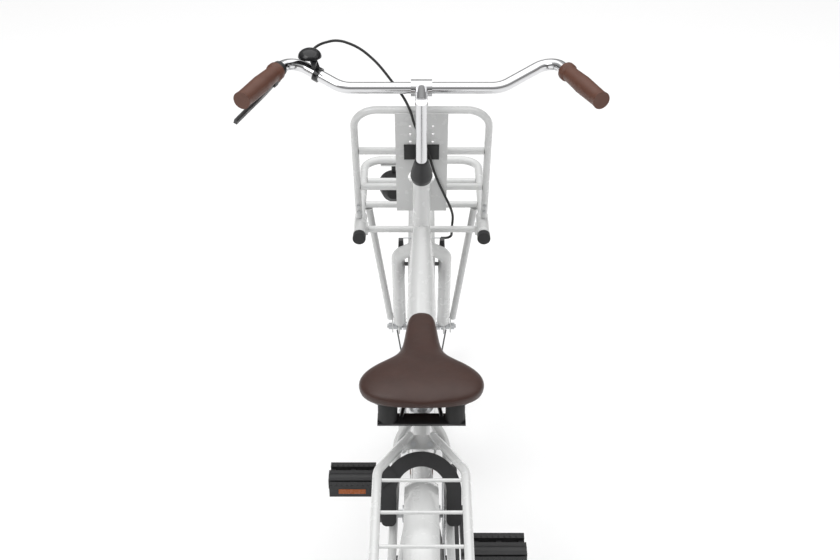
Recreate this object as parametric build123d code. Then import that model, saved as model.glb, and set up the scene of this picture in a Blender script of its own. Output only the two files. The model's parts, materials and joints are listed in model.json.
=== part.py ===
from build123d import *
import math
import os

# Folding bicycle. +Y is forward, +X is the rider's right, +Z is up and the ground is z = 0. Sizes in mm.

# Overall layout
WHEEL_R = 298.0
BB_Y = -95.0
BB_Z = 276.0
CHAINSTAY = 402.0
FRONT_CENTRE = 612.0
HEAD_ANGLE = 70.0
SEAT_ANGLE = 72.0
RAKE = 45.0

# Wheels
TYRE_W = 47.0
TYRE_WALL = 3.0
RIM_R = WHEEL_R - 40.0
RIM_W = 25.0
RIM_DEPTH = 17.0
RIM_WALL = 2.5
SPOKES = 36
CROSSES = 3
SPOKE_R = 1.0
NIPPLE_R = 2.0
NIPPLE_LEN = 12.0
FLANGE_X = 30.0
FLANGE_T = 2.4
AXLE_R = 4.75
FRONT_HUB_R = 13.0
FRONT_FLANGE_R = 22.0
REAR_HUB_R = 22.0
REAR_FLANGE_R = 32.0
FRONT_DROPOUT_X = 50.0
REAR_DROPOUT_X = 55.0
DROPOUT_T = 4.0

# Clearances
RUN = 0.06
GAP = 0.3

# Frame
SEAT_TUBE_R = 17.5
SEAT_TUBE_TOP = 635.0
SEATPOST_R = 14.3
BB_SHELL_R = 20.0
BB_SHELL_W = 68.0
BB_CUP_R = 17.0
BB_AXLE_R = 8.0
BEAM_W = 53.0
BEAM_H = 76.0
BEAM_WALL = 2.0
HINGE_Y = BB_Y + 95.0
HINGE_Z = 406.0
HINGE_X = -37.0
HINGE_PIN_R = 4.0
KNUCKLE_R = 8.0
PLATE_T = 12.0
PLATE_H = 104.0
STAY_R = 7.5
CHAINSTAY_R = 8.0
STAY_WALL = 1.2

# Head and steering, along the steering axis
HEAD_R = 17.5
HEAD_LOW = 371.0
HEAD_TOP = 565.0
CUP_LEN = 9.7
CUP_R = 19.5
STEERER_R = 12.7
QUILL_R = 11.1
QUILL_TOP = 778.0
QUILL_LOW = 480.0
BAR_R = 11.1
FORK_R = 14.0
FORK_WALL = 1.8
LEG_X = 50.0
GUARD_R = WHEEL_R + 20.0
GUARD_T = 1.6
GUARD_W = 57.0
BOSS_X = 44.0
BOSS_T = 225.0
ARM_O = 36.0
ARM_T = 8.0
ARM_LEN = 102.0

# Drive
CHAIN_X = 44.0
RING_TEETH = 38
COG_TEETH = 18
PITCH = 12.7
CRANK = 167.0
CRANK_IN = 72.0
CRANK_OUT = 86.0
PEDAL_X = 142.0
PEDAL_SPINDLE_R = 7.0

# Carriers
HOOP_R = 7.2
HOOP_X = 130.5
HOOP_TOP = 711.0
HOOP_LOW = 398.0
PLATE_W = 102.0
PLATFORM_Z = 655.0
PLATFORM_X = 128.5
RACK_Z = 650.0
RACK_X = 71.0
RUNG_PITCH = 74.0

# Centre stand
STAND_Y = BB_Y - 88.0
STAND_Z = 240.0
STAND_X = 58.0
STAND_R = 8.0
STAND_BAR_Y = 4.0
STAND_BAR_LOW = 18.5
STAND_BAR_TOP = 13.0

# Ring lock, seen along the stays
LOCK_C = 294.0
LOCK_OUT = 68.0
LOCK_IN = 43.0
LOCK_LEG = 236.0
LOCK_N = -19.5
LOCK_T = 22.0
BOLT_C = 289.0
BOLT_ARC = 56.0
BOLT_R = 4.0

REAR_Y = BB_Y - CHAINSTAY
FRONT_Y = BB_Y + FRONT_CENTRE
HC, HS = math.cos(math.radians(HEAD_ANGLE)), math.sin(math.radians(HEAD_ANGLE))
SC, SS = math.cos(math.radians(SEAT_ANGLE)), math.sin(math.radians(SEAT_ANGLE))
FOOT_Y = FRONT_Y - RAKE * HS
FOOT_Z = WHEEL_R - RAKE * HC
STEER = Plane(origin=(0, FOOT_Y, FOOT_Z), x_dir=(1, 0, 0), z_dir=(0, -HC, HS))
SEAT = Plane(origin=(0, BB_Y, BB_Z), x_dir=(1, 0, 0), z_dir=(0, -SC, SS))
CLUSTER_Y = BB_Y - 108.0
CLUSTER_Z = 620.0
RADIAL = Plane(
    origin=(0, REAR_Y, WHEEL_R), x_dir=(1, 0, 0), z_dir=(0, CLUSTER_Y - REAR_Y, CLUSTER_Z - WHEEL_R)
)
SEAT_TOP = (SEAT_TUBE_TOP - BB_Z) / SS
RING_R = PITCH / 2 / math.sin(math.pi / RING_TEETH)
COG_R = PITCH / 2 / math.sin(math.pi / COG_TEETH)


def steer(x, o, t):
    """A point x to the right, o ahead of the steering axis and t up along it."""
    return STEER.from_local_coords(Vector(x, o, t))


def radial(x, n, r):
    """A point in the seat stays' plane: r out from the rear axle, n down and ahead of the plane."""
    return RADIAL.from_local_coords(Vector(x, n, r))


def seat(x, n, t):
    """A point t up the seat tube and n ahead of its axis."""
    return SEAT.from_local_coords(Vector(x, n, t))


def at(x, y, z):
    """A point with y counted from the bottom bracket."""
    return Vector(x, BB_Y + y, z)


def rod(p, q, r, bore=0.0):
    """A round bar from p to q, or a tube when it has a bore."""
    p, q = Vector(*p), Vector(*q)
    plane = Plane(origin=p, z_dir=q - p)
    body = Solid.make_cylinder(r, (q - p).length, plane)
    if bore:
        body = body - Solid.make_cylinder(bore, (q - p).length, plane)
    return body


def bent(points, radii, r, wall=0.0):
    """A round bar or tube along straight runs joined by tangent arcs."""
    path = FilletPolyline(*points, radius=radii)
    section = Plane(origin=path @ 0, z_dir=path % 0) * Circle(r)
    if wall:
        section = section - Plane(origin=path @ 0, z_dir=path % 0) * Circle(r - wall)
    return sweep(section, path=path)


def block(x0, x1, y0, y1, z0, z1):
    return Pos((x0 + x1) / 2, (y0 + y1) / 2, (z0 + z1) / 2) * Box(x1 - x0, y1 - y0, z1 - z0)


def disc(x0, x1, y, z, r, bore=0.0):
    """A round piece across the bicycle, from x0 to x1."""
    return rod((x0, y, z), (x1, y, z), r, bore)


def turned(profile, y, z):
    """A closed outline of (x, radius) points turned about the x axis and set at y, z."""
    face = make_face(Polyline(*profile, close=True))
    return Pos(0, y, z) * revolve(face, Axis.X, 360)


def hexagon(x0, x1, y, z, across, bore):
    face = Plane(origin=(x0, y, z), z_dir=(1, 0, 0)) * RegularPolygon(across / 2, 6, major_radius=False)
    return extrude(face, amount=x1 - x0, dir=(1, 0, 0)) - disc(x0, x1, y, z, bore)


def side_plate(points, x0, x1):
    """A flat plate with an outline of (y, z) points, from x0 to x1."""
    face = make_face(Polyline(*[(x0, y, z) for y, z in points], close=True))
    return extrude(face, amount=x1 - x0, dir=(1, 0, 0))


def write(name, *shapes):
    solids = []
    for shape in shapes:
        solids += shape.solids() if not isinstance(shape, (list, tuple)) else [s for g in shape for s in g.solids()]
    export_step(Compound(solids) if len(solids) > 1 else solids[0], "parts/" + name + ".step")


def mirror_x(shape):
    return mirror(shape, about=Plane.YZ)


def both(shape):
    return [shape, mirror_x(shape)]


# --- Wheels ---------------------------------------------------------------


def tyre():
    r = TYRE_W / 2
    centre = WHEEL_R - r
    ring = Pos(0, centre) * (Circle(r) - Circle(r - TYRE_WALL))
    seat_zone = Pos(0, RIM_R / 2) * Rectangle(RIM_W + 2 * RUN, RIM_R + 2 * RUN)
    return revolve(ring - seat_zone, Axis.X, 360)


def rim():
    w, t, low = RIM_W / 2, RIM_WALL, RIM_R - RIM_DEPTH
    profile = [(-w, low), (w, low), (w, RIM_R), (w - t, RIM_R), (w - t, low + t + 1)]
    profile += [(t - w, low + t + 1), (t - w, RIM_R), (-w, RIM_R)]
    return turned(profile, 0, 0)


def spoke(hub_r, index):
    """One spoke of the set, laced from its flange to the rim, with its nipple."""
    side = 1 if index % 2 else -1
    outward = (index // 2) % 2
    step = 360 / SPOKES
    rim_angle = math.radians(index * step + step / 2)
    swing = math.radians(CROSSES * 2 * step * (1 if outward else -1))
    hub_angle = rim_angle + swing
    hub_x = side * (FLANGE_X + (3.9 if outward else -2.4))
    rim_x = side * (6.5 if outward else 3.5)
    end_r = RIM_R - RIM_DEPTH - 0.8
    hub = Vector(hub_x, hub_r * math.cos(hub_angle), hub_r * math.sin(hub_angle))
    end = Vector(rim_x, end_r * math.cos(rim_angle), end_r * math.sin(rim_angle))
    length = (end - hub).length
    outline = [(0, 0), (SPOKE_R, 0), (SPOKE_R, length - NIPPLE_LEN), (NIPPLE_R, length - NIPPLE_LEN)]
    outline += [(NIPPLE_R, length), (0, length)]
    face = Plane.XZ * make_face(Polyline(*outline, close=True))
    return Plane(origin=hub, z_dir=end - hub).location * revolve(face, Axis.Z, 360)


def hub(shell_r, flange_r, left, right):
    f, h, bore = FLANGE_X, FLANGE_T / 2, AXLE_R + RUN
    profile = [(left, bore), (right, bore), (right, shell_r * 0.7), (f + h, shell_r * 0.7)]
    profile += [(f + h, flange_r), (f - h, flange_r), (f - h, shell_r), (h - f, shell_r)]
    profile += [(h - f, flange_r), (-f - h, flange_r), (-f - h, shell_r * 0.7), (left, shell_r * 0.7)]
    return turned(profile, 0, 0)


def wheel(prefix, y, shell_r, flange_r, left, right):
    here = Pos(0, y, WHEEL_R)
    write(prefix + "_tyre", here * tyre())
    write(prefix + "_rim", here * rim())
    write(prefix + "_spokes", [here * spoke(flange_r - 4, i) for i in range(SPOKES)])
    write(prefix + "_hub", here * hub(shell_r, flange_r, left, right))


def axle(y, dropout_x, half_length, nut_x):
    """Axle rod with a locknut inside and a washer and nut outside each dropout."""
    z, bore = WHEEL_R, AXLE_R + RUN
    pieces = [disc(-half_length, half_length, y, z, AXLE_R)]
    for side in (-1, 1):
        inner = sorted((side * (dropout_x - 5), side * (dropout_x - 0.05)))
        washer = sorted((side * (nut_x - 2), side * (nut_x - 0.1)))
        nut = sorted((side * nut_x, side * (nut_x + 8)))
        pieces.append(hexagon(inner[0], inner[1], y, z, 17, bore))
        pieces.append(disc(washer[0], washer[1], y, z, 10, bore))
        pieces.append(hexagon(nut[0], nut[1], y, z, 15, bore))
    return pieces


def stay_nuts():
    """Outer nuts that hold the front carrier's stays on the axle."""
    spans = [sorted((side * 68.5, side * 76.5)) for side in (-1, 1)]
    return [hexagon(a, b, FRONT_Y, WHEEL_R, 15, AXLE_R + RUN) for a, b in spans]


# --- Rear frame -----------------------------------------------------------


def seat_tube():
    """Seat tube with the bottom bracket shell welded to it."""
    shell = disc(-BB_SHELL_W / 2, BB_SHELL_W / 2, BB_Y, BB_Z, BB_SHELL_R)
    tube = rod(seat(0, 0, 0), seat(0, 0, SEAT_TOP), SEAT_TUBE_R)
    bore = rod(seat(0, 0, 34), seat(0, 0, SEAT_TOP), SEATPOST_R + RUN)
    return shell + tube - bore - disc(-BB_SHELL_W / 2, BB_SHELL_W / 2, BB_Y, BB_Z, BB_CUP_R)


def bottom_cups():
    cups = []
    for side in (-1, 1):
        a, b = sorted((side * 20.0, side * (BB_SHELL_W / 2 + 3)))
        cups.append(disc(a, b, BB_Y, BB_Z, BB_CUP_R - 0.02, BB_AXLE_R + RUN))
    return cups


BEAM_LOW = at(0, -14, 322)
BEAM_HIGH = at(0, 430, 668)


def beam_section(share, width, height):
    place = BEAM_LOW + (BEAM_HIGH - BEAM_LOW) * share
    return Plane(origin=place, x_dir=(1, 0, 0), z_dir=BEAM_HIGH - BEAM_LOW) * Ellipse(width / 2, height / 2)


def beam(inset):
    """The whole oval main beam, flaring from the head tube and narrowing at the seat tube."""
    sizes = [(0.0, 42, 58), (0.3, BEAM_W, BEAM_H), (0.82, BEAM_W, BEAM_H), (1.0, 36, 66)]
    faces = [beam_section(s, w - 2 * inset, h - 2 * inset) for s, w, h in sizes]
    return loft(faces)


def half_beam(y0, y1, others):
    piece = (beam(0) - beam(BEAM_WALL)) & block(-60, 60, y0, y1, 200, 800)
    for other in others:
        piece = piece - other
    return max(piece.solids(), key=lambda s: s.volume)


def rear_beam():
    tube = rod(seat(0, 0, -30), seat(0, 0, SEAT_TOP), SEAT_TUBE_R)
    shell = disc(-60, 60, BB_Y, BB_Z, BB_SHELL_R)
    low = BB_Y - 30
    return half_beam(low, HINGE_Y - PLATE_T, [tube, shell, block(-60, 60, low - 60, BB_Y - 2, 200, 800)])


def front_beam():
    tube = rod(steer(0, 0, HEAD_LOW - 20), steer(0, 0, HEAD_TOP + 20), HEAD_R)
    cup = rod(steer(0, 0, 340), steer(0, 0, HEAD_LOW), CUP_R + GAP)
    return half_beam(HINGE_Y + PLATE_T, FOOT_Y, [tube, cup])


KNUCKLES = [(-50, -28), (-27.7, 27.7), (28, 50)]


def hinge_half(side):
    """One hinge plate with its knuckles: side is -1 for the rear half and 1 for the front half."""
    y0, y1 = sorted((HINGE_Y + side * GAP / 2, HINGE_Y + side * PLATE_T))
    plate = block(-28, 29, y0, y1, HINGE_Z - PLATE_H / 2, HINGE_Z + PLATE_H / 2)
    plate = fillet(plate.edges().filter_by(Axis.Y), 10)
    spans = KNUCKLES[1:2] if side > 0 else [KNUCKLES[0], KNUCKLES[2]]
    for low, high in spans:
        z0, z1 = HINGE_Z + low, HINGE_Z + high
        web0, web1 = sorted((HINGE_Y + side * 3.5, HINGE_Y + side * (PLATE_T - 1)))
        inner = max(z0, HINGE_Z - PLATE_H / 2 + 12), min(z1, HINGE_Z + PLATE_H / 2 - 12)
        plate = plate + block(HINGE_X, -20, web0, web1, inner[0], inner[1])
        plate = plate + rod((HINGE_X, HINGE_Y, z0), (HINGE_X, HINGE_Y, z1), KNUCKLE_R)
    bore = HINGE_PIN_R + RUN
    return plate - rod((HINGE_X, HINGE_Y, HINGE_Z - 70), (HINGE_X, HINGE_Y, HINGE_Z + 70), bore)


def hinge_front():
    plate = hinge_half(1)
    for low, high in ((-26, -16), (16, 26)):
        plate = plate + block(24, 41, HINGE_Y + 1.5, HINGE_Y + PLATE_T - 0.05, HINGE_Z + low, HINGE_Z + high)
    return plate + rod((35, HINGE_Y + 7, HINGE_Z - 20), (35, HINGE_Y + 7, HINGE_Z + 20), 2.5)


def hinge_pin():
    low, high = KNUCKLES[0][0], KNUCKLES[2][1]
    pin = rod((HINGE_X, HINGE_Y, HINGE_Z + low - 1), (HINGE_X, HINGE_Y, HINGE_Z + high + 1), HINGE_PIN_R)
    caps = [(low - 3, low - 0.1), (high + 0.1, high + 3)]
    for a, b in caps:
        pin = pin + rod((HINGE_X, HINGE_Y, HINGE_Z + a), (HINGE_X, HINGE_Y, HINGE_Z + b), 6)
    return pin


def fold_latch():
    """Lever that locks the fold, turning on an upright pin at the right of the front plate."""
    y = HINGE_Y + 7
    boss = rod((35, y, HINGE_Z - 15.7), (35, y, HINGE_Z + 15.7), 5.2)
    outline = [(y - 3, HINGE_Z - 14), (y + 12, HINGE_Z - 14), (y + 74, HINGE_Z + 34)]
    outline += [(y + 74, HINGE_Z + 50), (y + 60, HINGE_Z + 50), (y + 9, HINGE_Z + 14), (y - 3, HINGE_Z + 14)]
    blade = side_plate(outline, 35, 40)
    return boss + blade - rod((35, y, HINGE_Z - 30), (35, y, HINGE_Z + 30), 2.5 + RUN)


def rear_dropout(side):
    y, z = REAR_Y, WHEEL_R
    x0, x1 = sorted((side * REAR_DROPOUT_X, side * (REAR_DROPOUT_X + 5)))
    plate = disc(x0, x1, y, z, 24)
    plate = plate + side_plate([(y - 18, z), (y - 18, z + 42), (y - 2, z + 42), (y + 12, z + 34), (y + 12, z)], x0, x1)
    plate = plate + side_plate([(y, z - 18), (y + 30, z - 12), (y + 30, z + 10), (y, z + 20)], x0, x1)
    return plate - disc(x0, x1, y, z, AXLE_R + RUN)


def chainstay(side):
    points = [at(side * 24, -12, 277), at(side * 33.5, -92, 281), at(side * 57.5, -380, 297)]
    tube = bent(points, 120, CHAINSTAY_R, STAY_WALL)
    shell = disc(-60, 60, BB_Y, BB_Z, BB_SHELL_R)
    tube = tube - shell - rear_dropout(side)
    return [max(tube.solids(), key=lambda s: s.volume), rear_dropout(side)]


def seat_stay(side):
    points = [seat(side * 12, 0, 348), radial(side * 42, 0, 384), radial(side * 57.5, 0, 30)]
    tube = bent(points, 60, STAY_R, STAY_WALL)
    core = rod(seat(0, 0, 300), seat(0, 0, SEAT_TOP + 20), SEAT_TUBE_R)
    tube = tube - core - rear_dropout(side)
    return max(tube.solids(), key=lambda s: s.volume)


def stay_bridge():
    bridge = RADIAL.location * block(-42, 42, -4, 4, 366, 384)
    bridge = bridge - RADIAL.location * Pos(0, 0, 352) * Rot(90, 0, 0) * Cylinder(24, 40)
    for side in (-1, 1):
        cutter = bent([seat(side * 12, 0, 348), radial(side * 42, 0, 384), radial(side * 57.5, 0, 30)], 60, STAY_R)
        bridge = bridge - cutter
    return max(bridge.solids(), key=lambda s: s.volume)


def mudguard(first, last, grow=0.0):
    """A bowed strip about an axle at the origin, from the first to the last angle above straight ahead."""
    w = GUARD_W / 2
    outer, lip = GUARD_R + grow, GUARD_R - 12
    arc = ThreePointArc((-w, lip), (0, outer), (w, lip))
    inner = ThreePointArc((w - GUARD_T, lip), (0, outer - GUARD_T), (GUARD_T - w, lip))
    joins = [Line((w, lip), (w - GUARD_T, lip)), Line((GUARD_T - w, lip), (-w, lip))]
    face = make_face(Wire([arc.edge(), joins[0].edge(), inner.edge(), joins[1].edge()]))
    return Rot(first, 0, 0) * revolve(face, Axis.X, last - first)


def guard_rod(y, angle, side, end_x):
    a = math.radians(angle)
    top = Vector(side * 31, y + (GUARD_R - 14) * math.cos(a), WHEEL_R + (GUARD_R - 14) * math.sin(a))
    low = Vector(side * end_x, y + 26 * math.cos(a), WHEEL_R + 26 * math.sin(a))
    return rod(low, top, 1.8)


def rear_mudguard():
    guard = Pos(0, REAR_Y, WHEEL_R) * mudguard(14, 188)
    rods = [guard_rod(REAR_Y, a, s, 62.3) for a in (140, 176) for s in (-1, 1)]
    a = math.radians(172)
    place = (0, REAR_Y + (GUARD_R + 6) * math.cos(a), WHEEL_R + (GUARD_R + 6) * math.sin(a))
    reflector = rod(place, (0, place[1] - 9, place[2]), 19)
    reflector = reflector - Pos(0, REAR_Y, WHEEL_R) * Rot(0, 90, 0) * Cylinder(GUARD_R + 0.1, 60)
    return [guard, rods, max(reflector.solids(), key=lambda s: s.volume)]


def rear_carrier():
    front, rear = -305.0, -672.0
    points = [at(-20, -146, 592), at(-RACK_X, front, RACK_Z), at(-RACK_X, rear, RACK_Z)]
    points += [at(RACK_X, rear, RACK_Z), at(RACK_X, front, RACK_Z), at(20, -146, 592)]
    loop = bent(points, [60, 45, 45, 60], STAY_R, STAY_WALL)
    plate = RADIAL.location * block(-27, 27, -8, -4.05, 366.5, 391)
    for x in (-14, 14):
        plate = plate - RADIAL.location * Pos(x, 0, 375) * Rot(90, 0, 0) * Cylinder(2.6, 60)
    solid = bent(points, [60, 45, 45, 60], STAY_R)
    pieces = [loop, max((plate - solid).solids(), key=lambda s: s.volume)]
    y = front - 22
    while y > rear + 20:
        pieces.append(rod(at(0.1 + STAY_R - RACK_X, y, RACK_Z), at(RACK_X - STAY_R - 0.1, y, RACK_Z), 3))
        y -= RUNG_PITCH
    tab = block(60.05, 68, REAR_Y - 16, REAR_Y - 4, WHEEL_R + 24, WHEEL_R + 44)
    tab = tab - block(64, 70, REAR_Y - 20, REAR_Y, WHEEL_R, WHEEL_R + 36)
    leg = rod(at(RACK_X, -470, RACK_Z - STAY_R - 0.2), (68.5, REAR_Y - 10, WHEEL_R + 38), 5)
    pieces += both(leg + tab)
    plate = block(-35, 35, BB_Y + rear - STAY_R - 2.7, BB_Y + rear - STAY_R - 0.2, RACK_Z - 34, RACK_Z + 6)
    for x in (-25, 25):
        plate = plate - Pos(x, BB_Y + rear - STAY_R, RACK_Z - 20) * Rot(90, 0, 0) * Cylinder(2.6, 20)
    return pieces + [plate] + rear_carrier_bolts()


def rear_carrier_bolts():
    bolts = []
    for x in (-14, 14):
        bolts.append(rod(radial(x, -8.1, 375), radial(x, -12, 375), 5))
    return bolts


def chain_guard():
    """Open-bottomed case over the top run of the chain."""
    def outline(inset, x0, x1):
        big, small = RING_R + 20 - inset, COG_R + 14 - inset
        span = math.hypot(CHAINSTAY, WHEEL_R - BB_Z)
        tilt = math.atan2(WHEEL_R - BB_Z, -CHAINSTAY)
        lean = math.acos((big - small) / span)
        points = []
        for i in range(25):
            a = tilt + lean + (2 * math.pi - 2 * lean) * i / 24
            points.append((BB_Y + big * math.cos(a), BB_Z + big * math.sin(a)))
        for i in range(13):
            a = tilt - lean + 2 * lean * i / 12
            points.append((REAR_Y + small * math.cos(a), WHEEL_R + small * math.sin(a)))
        return side_plate(points, x0, x1)

    case = outline(0, 48.6, 68) - outline(2, 46, 66)
    case = case - block(40, 70, REAR_Y - 80, REAR_Y + 72, 200, 400)
    case = case - side_plate([(BB_Y + 120, 262), (REAR_Y - 90, 284), (REAR_Y - 90, 100), (BB_Y + 120, 100)], 40, 70)
    case = case - disc(40, 70, BB_Y, BB_Z, 24)
    return max(case.solids(), key=lambda s: s.volume)


def guard_arm():
    tube = bent([at(24, -12, 277), at(33.5, -92, 281), at(57.5, -380, 297)], 120, CHAINSTAY_R)
    arm = disc(42, 65.9, BB_Y - 215, 290, 4) - tube
    return max(arm.solids(), key=lambda s: s.center().X)


def belt(offset, x0, x1):
    """A closed band around the chainring and the sprocket, offset from the pitch line."""
    span = math.hypot(CHAINSTAY, WHEEL_R - BB_Z)
    tilt = math.atan2(WHEEL_R - BB_Z, -CHAINSTAY)
    lean = math.acos((RING_R - COG_R) / span)
    big, small = RING_R + offset, COG_R + offset

    def spot(cy, cz, r, a):
        return Vector(x0, cy + r * math.cos(a), cz + r * math.sin(a))

    ring = (BB_Y, BB_Z, big)
    cog = (REAR_Y, WHEEL_R, small)
    a0, a1 = tilt + lean, tilt - lean
    edges = [
        ThreePointArc(spot(*ring, a0), spot(*ring, tilt + math.pi), spot(*ring, a1)),
        Line(spot(*ring, a1), spot(*cog, a1)),
        ThreePointArc(spot(*cog, a1), spot(*cog, tilt), spot(*cog, a0)),
        Line(spot(*cog, a0), spot(*ring, a0)),
    ]
    face = make_face(Wire([e.edge() for e in edges]))
    return extrude(face, amount=x1 - x0, dir=(1, 0, 0))


def chain():
    """The two rows of link plates, either side of the teeth."""
    rows = []
    for x0, x1 in ((CHAIN_X - 3.2, CHAIN_X - 1.7), (CHAIN_X + 1.7, CHAIN_X + 3.2)):
        rows.append(belt(4.0, x0, x1) - belt(-4.0, x0 - 1, x1 + 1))
    return rows


def toothed(teeth, pitch_r, bore):
    points = []
    for i in range(teeth):
        for share, r in ((-0.32, -3.6), (-0.1, 3.6), (0.1, 3.6), (0.32, -3.6)):
            a = (i + share) * 2 * math.pi / teeth
            points.append(((pitch_r + r) * math.cos(a), (pitch_r + r) * math.sin(a)))
    face = make_face(Polyline(*points, close=True)) - Circle(bore)
    plate = extrude(face, amount=1.1, both=True)
    return Rot(0, 90, 0) * plate


def rear_sprocket():
    wheel = Pos(CHAIN_X, REAR_Y, WHEEL_R) * toothed(COG_TEETH, COG_R, AXLE_R + RUN)
    return wheel + disc(38, 48, REAR_Y, WHEEL_R, 14, AXLE_R + RUN)


def coaster_arm():
    y, z = REAR_Y, WHEEL_R
    low = [(y - 12, z - 10), (y + 8, z - 16), (y + 40, 264), (y + 150, 258)]
    high = [(y + 152, 272), (y + 42, 279), (y + 14, z + 4), (y + 4, z + 12), (y - 12, z + 10)]
    arm = side_plate(low + high, -49, -46)
    return arm - disc(-50, -45, y, z, AXLE_R + RUN)


def coaster_strap():
    p, q = at(-47.6, -262, 290.4), at(-48.6, -274, 291.1)
    strap = rod(p, q, CHAINSTAY_R + 2, CHAINSTAY_R + 0.1)
    return strap


def stand_bracket():
    """Plate below the chainstays with two ears and the stand's pivot pin."""
    y, z = STAND_Y, STAND_Z
    plate = block(-30, 30, y - 10, y + 26, z + 20, z + 37)
    for side in (-1, 1):
        tube = bent([at(side * 24, -12, 277), at(side * 33.5, -92, 281), at(side * 57.5, -380, 297)], 120, CHAINSTAY_R)
        plate = plate - tube
        ear = block(22, 28, y - 10, y + 10, z - 8, z + 24) if side > 0 else block(-28, -22, y - 10, y + 10, z - 8, z + 24)
        plate = plate + ear
    plate = max(plate.solids(), key=lambda s: s.volume)
    return plate + disc(-28, 28, y, z, 5)


def stand_legs():
    y, z = STAND_Y, STAND_Z
    legs = []
    for side in (-1, 1):
        points = [(side * 34, y, z), (side * STAND_X, y, z), (side * STAND_X, y + 6, 110), (side * 120, y + 14, 12)]
        leg = bent(points, [12, 60], STAND_R)
        foot = rod((side * 120, y + 14, 0), (side * 120, y + 14, 16), 12)
        legs.append(leg + foot)
    yoke = disc(-21.7, 21.7, y, z, 10, 5 + RUN)
    arms = [disc(*sorted((s * 28.3, s * 40)), y, z, 10) for s in (-1, 1)]
    bars = block(-40, 40, y - STAND_BAR_Y, y + STAND_BAR_Y, z - STAND_BAR_LOW, z - STAND_BAR_TOP)
    links = block(-21, 21, y - 6, y + 6, z - 16, z - 6)
    stand = yoke + links + bars
    for side, arm, leg in zip((-1, 1), arms, legs):
        stand = stand + arm + leg + block(*sorted((side * 29, side * 40)), y - 6, y + 6, z - 23, z)
    return stand - disc(-28.3, 28.3, y, z, 5 + RUN)


def ring_lock_case():
    outer = Pos(0, LOCK_C) * Circle(LOCK_OUT) + Pos(0, (LOCK_C + LOCK_LEG) / 2) * Rectangle(2 * LOCK_OUT, LOCK_C - LOCK_LEG)
    inner = Pos(0, LOCK_C) * Circle(LOCK_IN) + Pos(0, (LOCK_C + LOCK_LEG) / 2) * Rectangle(2 * LOCK_IN, LOCK_C - LOCK_LEG + 4)
    below = Pos(0, LOCK_LEG - 50) * Rectangle(4 * LOCK_OUT, 100)
    case = extrude(Plane.XZ * (outer - inner - below), amount=LOCK_T)
    case = Pos(0, LOCK_N + LOCK_T / 2, 0) * case
    edges = [e for e in case.edges() if abs(e.center().Z - LOCK_LEG) < 1 and abs(abs(e.center().X) - 55.5) > 5]
    case = fillet(edges, 9)
    case = case + Pos(-63, LOCK_N - 2, 322) * Rot(0, -35, 0) * Box(32, LOCK_T + 4, 30)
    case = case - Pos(0, LOCK_N, LOCK_C) * Rot(90, 0, 0) * Cylinder(LOCK_IN, 60)
    case = RADIAL.location * case
    torus = RADIAL.location * Pos(0, LOCK_N, BOLT_C) * Rot(90, 0, 0) * Torus(BOLT_ARC, BOLT_R + GAP)
    return case - torus


def lock_bolt():
    """Round bar on an arc, from its tip in the left leg back over the top."""
    start, sweep_angle = -62.0, -165.0

    def spot(angle):
        a = math.radians(angle)
        return radial(BOLT_ARC * math.sin(a), LOCK_N, BOLT_C - BOLT_ARC * math.cos(a))

    path = ThreePointArc(spot(start), spot(start + sweep_angle / 2), spot(start + sweep_angle))
    return sweep(Plane(origin=path @ 0, z_dir=path % 0) * Circle(BOLT_R), path=path)


def seat_clamp():
    ring = rod(seat(0, 0, SEAT_TOP - 16), seat(0, 0, SEAT_TOP + 4), 22, SEAT_TUBE_R + RUN)
    lip = rod(seat(0, 0, SEAT_TOP + 0.2), seat(0, 0, SEAT_TOP + 4), 20, SEATPOST_R + 0.2)
    ears = SEAT.location * (block(-13, -3, 18, 32, SEAT_TOP - 13, SEAT_TOP + 1) + block(3, 13, 18, 32, SEAT_TOP - 13, SEAT_TOP + 1))
    ears = ears - rod(seat(0, 0, SEAT_TOP - 30), seat(0, 0, SEAT_TOP + 10), 19)
    bolt = SEAT.location * Pos(0, 26, SEAT_TOP - 6) * Rot(0, 90, 0) * Cylinder(3, 28)
    return ring + lip + ears + bolt


def seat_clamp_lever():
    """Quick-release lever lying back along the seat tube's left side."""
    body = SEAT.location * (block(-30, -18.3, 19, 33, SEAT_TOP - 12, SEAT_TOP) + block(-30, -26, -34, 22, SEAT_TOP - 12, SEAT_TOP))
    return body


# --- Seat -----------------------------------------------------------------


def seatpost():
    return rod(seat(0, 0, SEAT_TOP - 190), seat(0, 0, SEAT_TOP + 62), SEATPOST_R, SEATPOST_R - 2)


SADDLE = [(16, 24, 16, 744), (-15, 50, 30, 746), (-80, 60, 36, 748), (-135, 100, 40, 753)]
SADDLE += [(-175, 190, 46, 762), (-205, 212, 48, 768), (-240, 184, 40, 769), (-260, 110, 22, 764)]


def saddle():
    faces = []
    for y, width, height, top in SADDLE:
        plane = Plane(origin=at(0, y, top - height / 2), x_dir=(1, 0, 0), z_dir=(0, -1, 0))
        faces.append(plane * Ellipse(width / 2, height / 2))
    return loft(faces)


def saddle_frame(pad):
    """Rails, clamp, rear bridge and the two springs under the pad."""
    rails = []
    for side in (-1, 1):
        points = [at(side * 10, -8, 726), at(side * 22, -60, 705), at(side * 22, -150, 703), at(side * 33, -226, 697)]
        rails.append(bent(points, [40, 60], 3.5) - pad)
    post = rod(seat(0, 0, SEAT_TOP - 20), seat(0, 0, SEAT_TOP + 62), SEATPOST_R)
    clamp = block(-30, 30, BB_Y - 160, BB_Y - 120, 697, 711) + rod(seat(0, 0, SEAT_TOP + 40), seat(0, 0, SEAT_TOP + 64), 19)
    clamp = clamp - post
    bridge = block(-72, 72, BB_Y - 240, BB_Y - 212, 690, 694)
    for rail in rails:
        clamp = clamp - rail
        bridge = bridge - rail
    pieces = [max(r.solids(), key=lambda s: s.volume) for r in rails]
    pieces += [max(clamp.solids(), key=lambda s: s.volume), max(bridge.solids(), key=lambda s: s.volume)]
    return pieces


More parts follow.
